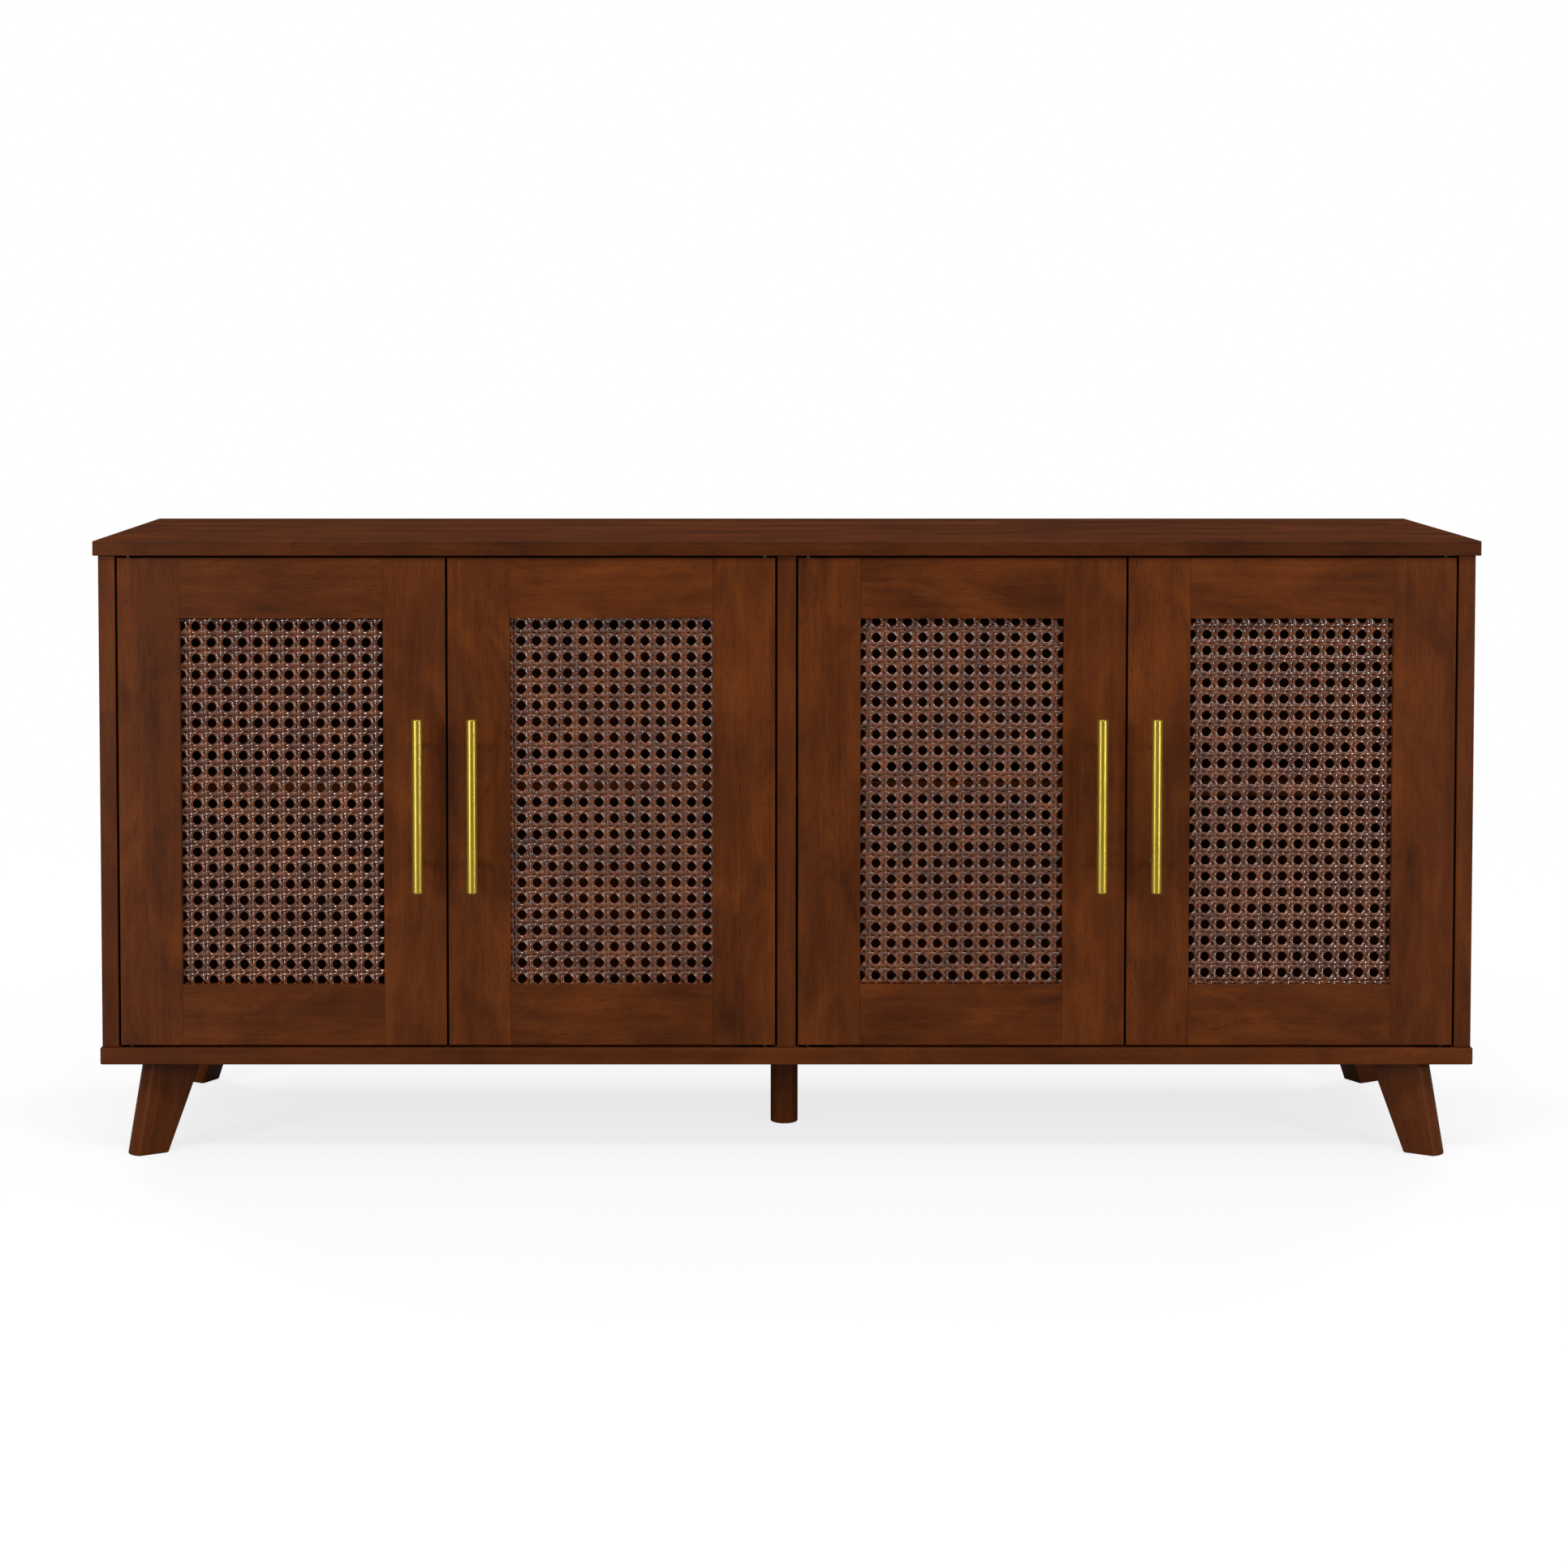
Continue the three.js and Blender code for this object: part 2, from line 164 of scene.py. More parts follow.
def build_stain_group():
    """Stained rubberwood from a grain vector whose X runs along the fibres, in metres.

    Cloudy stain take-up, long streaks, fine fibres, short dark pores, the tone of each glued stave and
    the comb line where two staves are finger-jointed.
    """
    tree, start, end = new_group(
        "stained_rubberwood",
        [
            ("Grain", "NodeSocketVector"),
            ("Staves", "NodeSocketFloat"),
            ("Blotch", "NodeSocketFloat"),
            ("Tone", "NodeSocketFloat"),
        ],
        [("Colour", "NodeSocketColor"), ("Roughness", "NodeSocketFloat"), ("Height", "NodeSocketFloat")],
    )
    grain = start.outputs["Grain"]
    cloud = noise(tree, scaled(tree, grain, (9.0, 24.0, 24.0)), detail=4.0, rough=0.6, distort=0.5)
    streak = noise(tree, scaled(tree, grain, (4.0, 120.0, 120.0)), detail=4.0, rough=0.6, distort=0.25)
    fibre = noise(tree, scaled(tree, grain, (30.0, 1100.0, 1100.0)), detail=2.0, rough=0.6)
    pore = noise(tree, scaled(tree, grain, (120.0, 1150.0, 1150.0)), detail=1.0)
    pores = stretch(tree, pore, 0.63, 0.71)

    axes = put(tree, "ShaderNodeSeparateXYZ", None, Vector=grain)
    row = maths(tree, "FLOOR", maths(tree, "DIVIDE", axes.outputs["Y"], STAVE_WIDE))
    shift = put(tree, "ShaderNodeTexWhiteNoise", {"noise_dimensions": "1D"}, W=row).outputs["Value"]
    along = maths(tree, "ADD", maths(tree, "DIVIDE", axes.outputs["X"], STAVE_LONG), shift)
    cell = put(tree, "ShaderNodeCombineXYZ", None, X=maths(tree, "FLOOR", along), Y=row)
    stave = put(tree, "ShaderNodeTexWhiteNoise", {"noise_dimensions": "3D"}, Vector=cell.outputs[0])
    stave_tone = maths(tree, "SUBTRACT", stave.outputs["Value"], 0.5)

    tooth = maths(tree, "PINGPONG", axes.outputs["Y"], FINGER)
    tip = maths(tree, "MULTIPLY", tooth, 4.0)
    past = maths(tree, "MULTIPLY", maths(tree, "FRACT", along), STAVE_LONG)
    comb = maths(tree, "ABSOLUTE", maths(tree, "SUBTRACT", past, tip))
    comb = stretch(tree, comb, 0.0002, 0.0007, 1.0, 0.0)
    comb = maths(tree, "MULTIPLY", comb, start.outputs["Staves"])

    tone = maths(tree, "MULTIPLY", maths(tree, "SUBTRACT", cloud, 0.5), start.outputs["Blotch"])
    tone = maths(tree, "ADD", tone, maths(tree, "MULTIPLY", maths(tree, "SUBTRACT", streak, 0.5), 0.4))
    tone = maths(tree, "ADD", tone, maths(tree, "MULTIPLY", maths(tree, "SUBTRACT", fibre, 0.5), 0.45))
    tone = maths(tree, "ADD", tone, maths(tree, "MULTIPLY", stave_tone,
                                          maths(tree, "MULTIPLY", start.outputs["Staves"], 0.22)))
    tone = maths(tree, "ADD", tone, start.outputs["Tone"], clamp=True)
    colour = ramp(tree, tone, [(0.08, STAIN_DARK), (0.5, STAIN_MID), (0.95, STAIN_LIGHT)])
    colour = mixed(tree, maths(tree, "MULTIPLY", pores, 0.5), colour, srgb(30, 13, 5))
    colour = mixed(tree, maths(tree, "MULTIPLY", comb, 0.3), colour, srgb(40, 15, 7))
    tree.links.new(colour, end.inputs["Colour"])
    rough = maths(tree, "ADD", maths(tree, "MULTIPLY", fibre, 0.12), 0.36)
    tree.links.new(rough, end.inputs["Roughness"])
    height = maths(tree, "SUBTRACT", maths(tree, "MULTIPLY", fibre, 0.5), pores)
    tree.links.new(height, end.inputs["Height"])
    return tree


def new_material(name):
    """A material with an empty Principled shader; returns the material, its tree and the shader."""
    material = bpy.data.materials.new(name)
    material.use_nodes = True
    tree = material.node_tree
    return material, tree, tree.nodes["Principled BSDF"]


def set_values(shader, **values):
    """Sets constants straight on the shader's own sockets."""
    for key, value in values.items():
        shader.inputs[key.replace("_", " ")].default_value = value


def bump(tree, shader, height, strength, distance):
    """Feeds a height into the shader's normal."""
    made = put(tree, "ShaderNodeBump", None, Height=height, Strength=strength, Distance=distance)
    tree.links.new(made.outputs["Normal"], shader.inputs["Normal"])


def wood_material(name, group, staves, blotch, tone):
    """Low-sheen stained wood that follows the piece's own grain attribute.

    tone moves the middle of the stain.
    """
    material, tree, shader = new_material(name)
    grain = put(tree, "ShaderNodeAttribute", {"attribute_name": "grain"}).outputs["Vector"]
    made = put(tree, "ShaderNodeGroup", {"node_tree": group}, Grain=grain, Staves=staves)
    set_values(made, Blotch=blotch, Tone=tone)
    tree.links.new(made.outputs["Colour"], shader.inputs["Base Color"])
    tree.links.new(made.outputs["Roughness"], shader.inputs["Roughness"])
    set_values(shader, Specular_IOR_Level=0.1)
    bump(tree, shader, made.outputs["Height"], 0.25, 0.00015)
    return material


def cane_material():
    """Split cane under a thick gloss finish: red-brown, darker in patches and finely flecked."""
    material, tree, shader = new_material("glossy_cane")
    place = put(tree, "ShaderNodeTexCoord").outputs["Object"]
    patch = noise(tree, place, scale=55.0, detail=3.0)
    fleck = noise(tree, place, scale=900.0, detail=2.0)
    tone = maths(tree, "ADD", maths(tree, "MULTIPLY", patch, 0.7), maths(tree, "MULTIPLY", fleck, 0.3))
    colour = ramp(tree, tone, [(0.3, srgb(64, 28, 6)), (0.5, srgb(98, 46, 10)), (0.7, srgb(126, 64, 18))])
    tree.links.new(colour, shader.inputs["Base Color"])
    rough = stretch(tree, patch, 0.3, 0.7, 0.24, 0.36)
    tree.links.new(rough, shader.inputs["Roughness"])
    set_values(shader, Coat_Weight=1.0, Coat_Roughness=0.05, Coat_IOR=1.8, Specular_IOR_Level=0.3)
    bump(tree, shader, fleck, 0.06, 0.0001)
    return material


def brass_material():
    """Polished brass with fine turning lines round the bar."""
    material, tree, shader = new_material("polished_brass")
    place = put(tree, "ShaderNodeTexCoord").outputs["Object"]
    lines = noise(tree, scaled(tree, place, (40.0, 40.0, 2600.0)), detail=2.0)
    smudge = noise(tree, place, scale=35.0, detail=3.0)
    colour = mixed(tree, smudge, srgb(184, 154, 54), srgb(202, 174, 72))
    tree.links.new(colour, shader.inputs["Base Color"])
    rough = stretch(tree, smudge, 0.3, 0.7, 0.27, 0.33)
    tree.links.new(rough, shader.inputs["Roughness"])
    set_values(shader, Metallic=0.85)
    bump(tree, shader, lines, 0.02, 0.00005)
    return material


def steel_material():
    """Black-oxide steel, brushed along X, with a little dulling."""
    material, tree, shader = new_material("blackened_steel")
    place = put(tree, "ShaderNodeTexCoord").outputs["Object"]
    brushed = noise(tree, scaled(tree, place, (60.0, 2400.0, 2400.0)), detail=2.0)
    colour = mixed(tree, brushed, srgb(46, 42, 40), srgb(74, 70, 66))
    tree.links.new(colour, shader.inputs["Base Color"])
    rough = stretch(tree, brushed, 0.3, 0.7, 0.24, 0.4)
    tree.links.new(rough, shader.inputs["Roughness"])
    set_values(shader, Metallic=1.0)
    bump(tree, shader, brushed, 0.1, 0.00005)
    return material


def plastic_material():
    """Moulded dark brown plastic with a fine spark texture."""
    material, tree, shader = new_material("moulded_plastic")
    place = put(tree, "ShaderNodeTexCoord").outputs["Object"]
    grit = noise(tree, place, scale=2200.0, detail=1.0)
    colour = mixed(tree, grit, srgb(38, 24, 17), srgb(52, 34, 24))
    tree.links.new(colour, shader.inputs["Base Color"])
    rough = stretch(tree, grit, 0.3, 0.7, 0.42, 0.56)
    tree.links.new(rough, shader.inputs["Roughness"])
    bump(tree, shader, grit, 0.2, 0.00008)
    return material


def floor_material():
    """Plain pale studio floor."""
    material, tree, shader = new_material("pale_floor")
    place = put(tree, "ShaderNodeTexCoord").outputs["Object"]
    tone = noise(tree, place, scale=2.0, detail=2.0)
    pale = mixed(tree, tone, (0.86, 0.86, 0.86), (0.9, 0.9, 0.9))
    seen = put(tree, "ShaderNodeLightPath").outputs["Is Camera Ray"]
    tree.links.new(mixed(tree, seen, FLOOR_BOUNCE, pale), shader.inputs["Base Color"])
    set_values(shader, Roughness=0.9, Specular_IOR_Level=0.1)
    glow = put(tree, "ShaderNodeEmission", None, Color=(1.0, 1.0, 1.0, 1.0), Strength=1.0)
    away = put(tree, "ShaderNodeVectorMath", {"operation": "LENGTH"}, _0=place).outputs["Value"]
    near, far = FLOOR_GLOW
    share = maths(tree, "MULTIPLY", seen, stretch(tree, away, 0.8, 2.6, near, far))
    blend = put(tree, "ShaderNodeMixShader", None, _0=share)
    tree.links.new(shader.outputs[0], blend.inputs[1])
    tree.links.new(glow.outputs[0], blend.inputs[2])
    tree.links.new(blend.outputs[0], tree.nodes["Material Output"].inputs["Surface"])
    return material


# ---------------------------------------------------------------- mesh helpers


def mesh_piece(name, points, quads, material, body, replaced=(), grain=None):
    """A smooth quad mesh from arrays, riding on a body and standing for the CAD nodes it replaces."""
    mesh = bpy.data.meshes.new(name)
    mesh.vertices.add(len(points))
    mesh.vertices.foreach_set("co", np.ascontiguousarray(points, np.float32).ravel())
    mesh.loops.add(quads.size)
    mesh.loops.foreach_set("vertex_index", np.ascontiguousarray(quads, np.int32).ravel())
    mesh.polygons.add(len(quads))
    mesh.polygons.foreach_set("loop_start", np.arange(0, quads.size, quads.shape[1], dtype=np.int32))
    mesh.polygons.foreach_set("use_smooth", np.ones(len(quads), bool))
    mesh.update(calc_edges=True)
    mesh.validate()
    if grain is not None:
        store_grain(mesh, grain)
    return finish_piece(name, mesh, material, body, replaced)


def finish_piece(name, mesh, material, body, replaced=()):
    """Makes the object, gives it its material, sets it on its body and hides the CAD nodes that it stands
    for.
    """
    piece = bpy.data.objects.new(name, mesh)
    bpy.context.scene.collection.objects.link(piece)
    mesh.materials.clear()
    mesh.materials.append(material)
    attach(piece, body)
    if replaced:
        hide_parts(*replaced)
    return piece


def store_grain(mesh, grain):
    """Keeps the wood's own coordinates, along the fibres first, on the vertices."""
    layer = mesh.attributes.new("grain", "FLOAT_VECTOR", "POINT")
    layer.data.foreach_set("vector", np.ascontiguousarray(grain, np.float32).ravel())


def grain_of(points, axis, seed):
    """Grain coordinates: along, across the wide face, through it; moved to a fresh part of the tree."""
    others = sorted((i for i in (0, 1, 2) if i != axis), key=lambda i: -np.ptp(points[:, i]))
    offset = np.array([3.71, 5.13, 2.37]) * seed
    return points[:, [axis, *others]] + offset


def tube_faces(stations, around):
    """Quads of a tube of rings laid end to end, with flat ends closed by strips of quads."""
    ring, step = np.meshgrid(np.arange(around), np.arange(stations - 1))
    ring, step = ring.ravel(), step.ravel()
    after = (ring + 1) % around
    side = np.stack([
        step * around + ring,
        step * around + after,
        (step + 1) * around + after,
        (step + 1) * around + ring,
    ], axis=1)
    half = np.arange(around // 2 - 1)
    cap = np.stack([half, half + 1, around - 2 - half, around - 1 - half], axis=1)
    return np.concatenate([side, cap[:, ::-1], cap + (stations - 1) * around])


def lathe(profile, around, axis_x, axis_y):
    """Rings about a vertical axis: each (radius, z) of the profile is a circle at that height."""
    turn = np.linspace(0.0, 2.0 * math.pi, around, endpoint=False)
    radius = profile[:, 0, None]
    x = axis_x + radius * np.cos(turn)
    y = axis_y + radius * np.sin(turn)
    z = np.broadcast_to(profile[:, 1, None], x.shape)
    return np.stack([x, y, z], axis=-1).reshape(-1, 3)


def board_copy(node, body, material, axis, seed, edge=0.7, grow=None):
    """A finished board: the CAD node's mesh merged, its flat faces joined and its outer edges eased.

    The edges eased are those on two sides of the board's box, and the level edges of a rounded corner.
    grow moves the ends along X outwards by so many mm, to close a glued joint. The grain runs along axis.
    """
    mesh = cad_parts[node].data.copy()
    mesh.name = f"{node}_wood"
    low, high = (np.array(corner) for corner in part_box(node))
    form = bmesh.new()
    form.from_mesh(mesh)
    bmesh.ops.remove_doubles(form, verts=form.verts, dist=2e-6)
    bmesh.ops.dissolve_limit(form, angle_limit=math.radians(0.5), verts=form.verts, edges=form.edges)
    weight = form.edges.layers.float.new("bevel_weight_edge")
    for line in form.edges:
        middle = (np.array(line.verts[0].co) + np.array(line.verts[1].co)) / 2
        on_side = np.minimum(np.abs(middle - low), np.abs(middle - high)) < 5e-5
        level = abs(line.verts[0].co.z - line.verts[1].co.z) < 1e-6
        rounded = any(abs(face.normal.x) > 0.05 and abs(face.normal.y) > 0.05 for face in line.link_faces)
        outer = on_side.sum() >= 2 or (level and rounded)
        if grow and line.verts[0].co.x == line.verts[1].co.x:
            outer = False
        line[weight] = 1.0 if outer else 0.0
        line.smooth = outer or line.calc_face_angle(0.0) < math.radians(30)
    if grow:
        for vertex in form.verts:
            if abs(vertex.co.x - low[0]) < 1e-5:
                vertex.co.x -= grow * MM
            if abs(vertex.co.x - high[0]) < 1e-5:
                vertex.co.x += grow * MM
    for face in form.faces:
        face.smooth = True
    form.to_mesh(mesh)
    form.free()
    points = np.empty(len(mesh.vertices) * 3)
    mesh.vertices.foreach_get("co", points)
    store_grain(mesh, grain_of(points.reshape(-1, 3), axis, seed))
    piece = finish_piece(f"{node}_wood", mesh, material, body, (node,))
    bevel = piece.modifiers.new("eased_edges", "BEVEL")
    bevel.limit_method = "WEIGHT"
    bevel.width = edge * MM
    bevel.segments = 3
    bevel.use_clamp_overlap = False
    even = piece.modifiers.new("flat_faces", "WEIGHTED_NORMAL")
    even.keep_sharp = True
    even.weight = 100
    return piece


# ---------------------------------------------------------------- case


def make_case(wood):
    """Top, base, sides, divider, back and shelves, each with its own grain."""
    for seed, (node, axis, edge) in enumerate((
        ("top_panel", 0, 1.0),
        ("base_panel", 0, 1.2),
        ("side_panel_left", 2, 0.7),
        ("side_panel_right", 2, 0.7),
        ("centre_divider", 2, 0.7),
        ("back_panel", 0, 0.4),
        ("shelf_left", 0, 0.8),
        ("shelf_right", 0, 0.8),
    ), start=1):
        board_copy(node, "case", wood["top" if node == "top_panel" else "board"], axis, seed, edge)


LEG_SPLAY, LEG_TAPER = 0.18, 0.3985  # lean of the outer and the inner face, per unit of height
LEG_FOOT = (707.0, 171.0)  # mm from the middle of the case to each foot
LEG_TURN = math.radians(30)


def leg_outline(height):
    """A leg's section at a height above the floor, in mm: x outwards, y across, anticlockwise.

    The outer face is an arc of radius 20 that leans in by LEG_SPLAY of the height and meets the flat
    sides at an eased arris. The inner face lies 25 in from the middle at the floor, leans in by LEG_TAPER
    of the height and has corners of radius 2.
    """
    half, corner, crown = 15.0, 2.0, 20.0
    lean_out, lean_in, reach = LEG_SPLAY * height, LEG_TAPER * height, 25.0
    spread = math.asin(half / crown)
    edge = half - crown + crown * math.cos(spread) - lean_out
    front = np.linspace(0.04 - spread, spread - 0.04, 22)
    outer = np.stack([half - crown + crown * np.cos(front) - lean_out, crown * np.sin(front)], axis=1)
    arris = np.array([(edge - 0.2, half - 0.15), (edge - 1.0, half)])
    turn = np.linspace(math.pi / 2, math.pi, 5)
    inner_x = -reach - lean_in + corner
    upper = np.stack([inner_x + corner * np.cos(turn), half - corner + corner * np.sin(turn)], axis=1)
    lower = upper[::-1] * (1.0, -1.0)
    return np.concatenate([outer, arris, upper, lower, arris[::-1] * (1.0, -1.0)])


def make_leg(node, side_x, side_y, wood, seed):
    """One splayed leg: sections of leg_outline from the floor to the base, with the foot eased 1 mm."""
    low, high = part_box(node)
    top = (high.z - low.z) / MM
    centre_x = LEG_FOOT[0] * MM * side_x
    centre_y = CASE_MIDDLE_Y + LEG_FOOT[1] * MM * side_y
    turn = math.atan2(side_y * math.sin(LEG_TURN), side_x * math.cos(LEG_TURN))
    levels = [(0.0, 1.0), (0.3, 0.35), (1.0, 0.0)] + [(z, 0.0) for z in np.linspace(8.0, top, 12)]
    rings = []
    for height, inset in levels:
        section = leg_outline(height)
        middle = section.mean(axis=0)
        span = np.ptp(section, axis=0) / 2
        section = middle + (section - middle) * (1.0 - inset / span)
        rings.append(np.column_stack([section, np.full(len(section), height)]))
    local = np.concatenate(rings) * MM
    around = len(rings[0])
    cos, sin = math.cos(turn), math.sin(turn)
    points = np.column_stack([
        centre_x + local[:, 0] * cos - local[:, 1] * sin,
        centre_y + local[:, 0] * sin + local[:, 1] * cos,
        local[:, 2] + low.z,
    ])
    grain = grain_of(local + np.outer(local[:, 2], (LEG_SPLAY, 0.0, 0.0)), 2, seed)
    quads = tube_faces(len(levels), around)
    piece = mesh_piece(f"{node}_wood", points, quads, wood["leg"], "case", (node,), grain)
    even = piece.modifiers.new("flat_faces", "WEIGHTED_NORMAL")
    even.weight = 90


def make_middle_leg(wood):
    """The round leg: a cylinder with a 1.5 mm rounded foot."""
    low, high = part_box("leg_middle")
    radius = (high.x - low.x) / 2
    ease = 1.5 * MM
    bend = np.linspace(0.0, math.pi / 2, 6)
    foot = np.stack([radius - ease + ease * np.sin(bend), low.z + ease - ease * np.cos(bend)], axis=1)
    shaft = np.array([(radius, z) for z in np.linspace(low.z + 4 * ease, high.z, 6)])
    profile = np.concatenate([foot, shaft])
    points = lathe(profile, ROUND, (low.x + high.x) / 2, (low.y + high.y) / 2)
    quads = tube_faces(len(profile), ROUND)
    grain = grain_of(points, 2, 31)
    replaced = ("leg_middle",)
    # The middle leg takes the lightened stain: painted light in place of the light it lacks under the
    # case.
    mesh_piece("leg_middle_wood", points, quads, wood["post"], "case", replaced, grain)


# ---------------------------------------------------------------- doors

PITCH_X, PITCH_Z = 16.81, 17.61  # mm from one hole of the weave to the next
CANE_PHASE = {  # where the weave starts on each door, in pitches from the middle of the sheet
    "door_1": (-0.1, 0.33),
    "door_2": (-0.354, 0.429),
    "door_3": (0.002, -0.359),
    "door_4": (0.086, -0.17),
}
PAIR = 0.119  # half the spacing of the two strands of a pair, in pitches
STRAND_W = {"upright": 3.65, "level": 3.8, "falling": 2.8, "rising": 2.8}
STRAND_T = 1.5  # mm through a strand
PAIR_ROOM = 0.12  # a pair this near the edge of the sheet, in pitches, is left out
PAIR_WAVE = 0.6  # how far a pair's strands rise and sink where pairs cross
SLANT_WAVE = 1.3  # how far a slanting strand rises and sinks across the pairs
STEPS = 8  # rings in each pitch of a strand
SECTION_TURN = np.radians([0.0, 55.0, 125.0, 180.0, 235.0, 305.0])  # the points of a strand's oval section
DRIFT, OFF_LINE = 0.12, 0.06  # mm that a strand strays from its line, see strand_rings


def pair_wave(across):
    """Height of a pair's strand, in mm: a sine of one pitch, scaled to be full where the pairs cross."""
    return PAIR_WAVE * np.sin(2 * math.pi * across) / math.sin(2 * math.pi * PAIR)


def slant_wave(across):
    """Height of a slanting strand, in mm: a cosine of one pitch with flattened tops."""
    return SLANT_WAVE * np.tanh(1.6 * np.cos(2 * math.pi * across)) / math.tanh(1.6)


def strand_path(kind, number, sign, half_w, half_h):
    """Centre line of one strand: u and v in pitches, and height in mm. It runs past the sheet's edges."""
    if kind == "upright":
        v = np.arange(-half_h, half_h + 1e-6, 1.0 / STEPS)
        u = np.full_like(v, number + sign * PAIR)
        return u, v, sign * pair_wave(v)
    if kind == "level":
        u = np.arange(-half_w, half_w + 1e-6, 1.0 / STEPS)
        v = np.full_like(u, number + sign * PAIR)
        return u, v, -sign * pair_wave(u)
    slope = -1.0 if kind == "falling" else 1.0
    start, stop = sorted(((-half_h - number - 0.5) * slope, (half_h - number - 0.5) * slope))
    start, stop = max(start, -half_w), min(stop, half_w)
    u = np.arange(start, stop, 1.0 / STEPS)
    return u, number + 0.5 + slope * u, -slope * slant_wave(u)


def clipped(path, phase, half_w, half_h):
    """The part of a path whose points lie on the sheet."""
    u, v, height = path
    inside = (np.abs(u + phase[0]) <= half_w) & (np.abs(v + phase[1]) <= half_h)
    return u[inside], v[inside], height[inside]


def strand_rings(path, width, phase, rng):
    """Rings of a flat oval section carried along a path, in mm, with height towards the front (-Y).

    Each strand drifts slowly to and fro by up to DRIFT and stands off its line by a fixed amount whose
    deviation is OFF_LINE, as hand weaving does.
    """
    u, v, height = path
    x, z = (u + phase[0]) * PITCH_X, (v + phase[1]) * PITCH_Z
    along = np.gradient(np.column_stack([x, z]), axis=0)
    along /= np.linalg.norm(along, axis=1, keepdims=True)
    across = np.column_stack([-along[:, 1], along[:, 0]])
    wander = DRIFT * np.sin(np.arange(len(u)) * 0.09 + rng.uniform(0, 6.3)) + rng.normal(0, OFF_LINE)
    side, rise = width / 2 * np.cos(SECTION_TURN), STRAND_T / 2 * np.sin(SECTION_TURN)
    rings = np.empty((len(u), len(SECTION_TURN), 3))
    rings[:, :, 0] = x[:, None] + across[:, 0, None] * (side + wander[:, None])
    rings[:, :, 2] = z[:, None] + across[:, 1, None] * (side + wander[:, None])
    rings[:, :, 1] = -(height[:, None] + rise)
    return rings.reshape(-1, 3)


def make_cane(door, number, cane):
    """The woven sheet of one door: pairs up and across, and single strands on both slants."""
    low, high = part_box(f"{door}_cane")
    middle = (low + high) / 2
    rng = np.random.default_rng(40 + number)
    half_w = (high.x - low.x) / 2 / MM / PITCH_X
    half_h = (high.z - low.z) / 2 / MM / PITCH_Z
    reach = int(half_w + half_h) + 2
    phase = CANE_PHASE[door]
    for kind in ("upright", "level", "falling", "rising"):
        points, faces, count = [], [], 0
        signs = (-1, 1) if kind in ("upright", "level") else (0,)
        for index in range(-reach, reach + 1):
            for sign in signs:
                centre = index + sign * PAIR
                spot = centre + (phase[0] if kind == "upright" else phase[1])
                room = (half_w if kind == "upright" else half_h) - PAIR_ROOM
                if signs != (0,) and abs(spot) > room:
                    continue
                path = strand_path(kind, index, sign, half_w + 1, half_h + 1)
                path = clipped(path, phase, half_w, half_h)
                if len(path[0]) < 4:
                    continue
                width = STRAND_W[kind] * rng.uniform(0.93, 1.07)
                points.append(strand_rings(path, width, phase, rng))
                faces.append(tube_faces(len(path[0]), len(SECTION_TURN)) + count)
                count += len(points[-1])
        place = np.concatenate(points) * MM + np.array(middle)
        name = f"{door}_cane_{kind}"
        mesh_piece(name, place, np.concatenate(faces), cane, door)
    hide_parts(f"{door}_cane")


def make_bead(door, wood, seed):
    """Four mitred strips behind the cane: the outline of the seat carried round as a rounded bar."""
    low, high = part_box(f"{door}_cane")
    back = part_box(f"{door}_pull_stile")[1].y - 0.6 * MM
    front = high.y + 0.3 * MM
    wide, ease = 9.0 * MM, 1.2 * MM
    corners = ((low.x, low.z), (high.x, low.z), (high.x, high.z), (low.x, high.z))
    ways = ((1, 1), (-1, 1), (-1, -1), (1, -1))
    bend = np.linspace(0.0, math.pi / 2, 5)
    section = [(0.0, front), (wide, front)]
    section += [(wide - ease + ease * math.cos(t), back - ease + ease * math.sin(t)) for t in bend]
    section += [(0.0, back)]
    section = np.array(section)
    rings = [
        np.column_stack([x + wx * section[:, 0], section[:, 1], z + wz * section[:, 0]])
        for (x, z), (wx, wz) in zip(corners, ways)
    ]
    around = len(section)
    points = np.concatenate(rings)
    ring, step = np.meshgrid(np.arange(around), np.arange(4))
    ring, step = ring.ravel(), step.ravel()
    after, following = (ring + 1) % around, (step + 1) % 4
    quads = np.stack([
        step * around + ring,
        following * around + ring,
        following * around + after,
        step * around + after,
    ], axis=1)
    grain = grain_of(points, 2, seed)
    piece = mesh_piece(f"{door}_bead", points, quads, wood["frame"], door, (), grain)
    piece.data.polygons.foreach_set("use_smooth", np.zeros(len(quads), bool))


POST_REACH = 64.0  # mm from the middle of a bar to each post


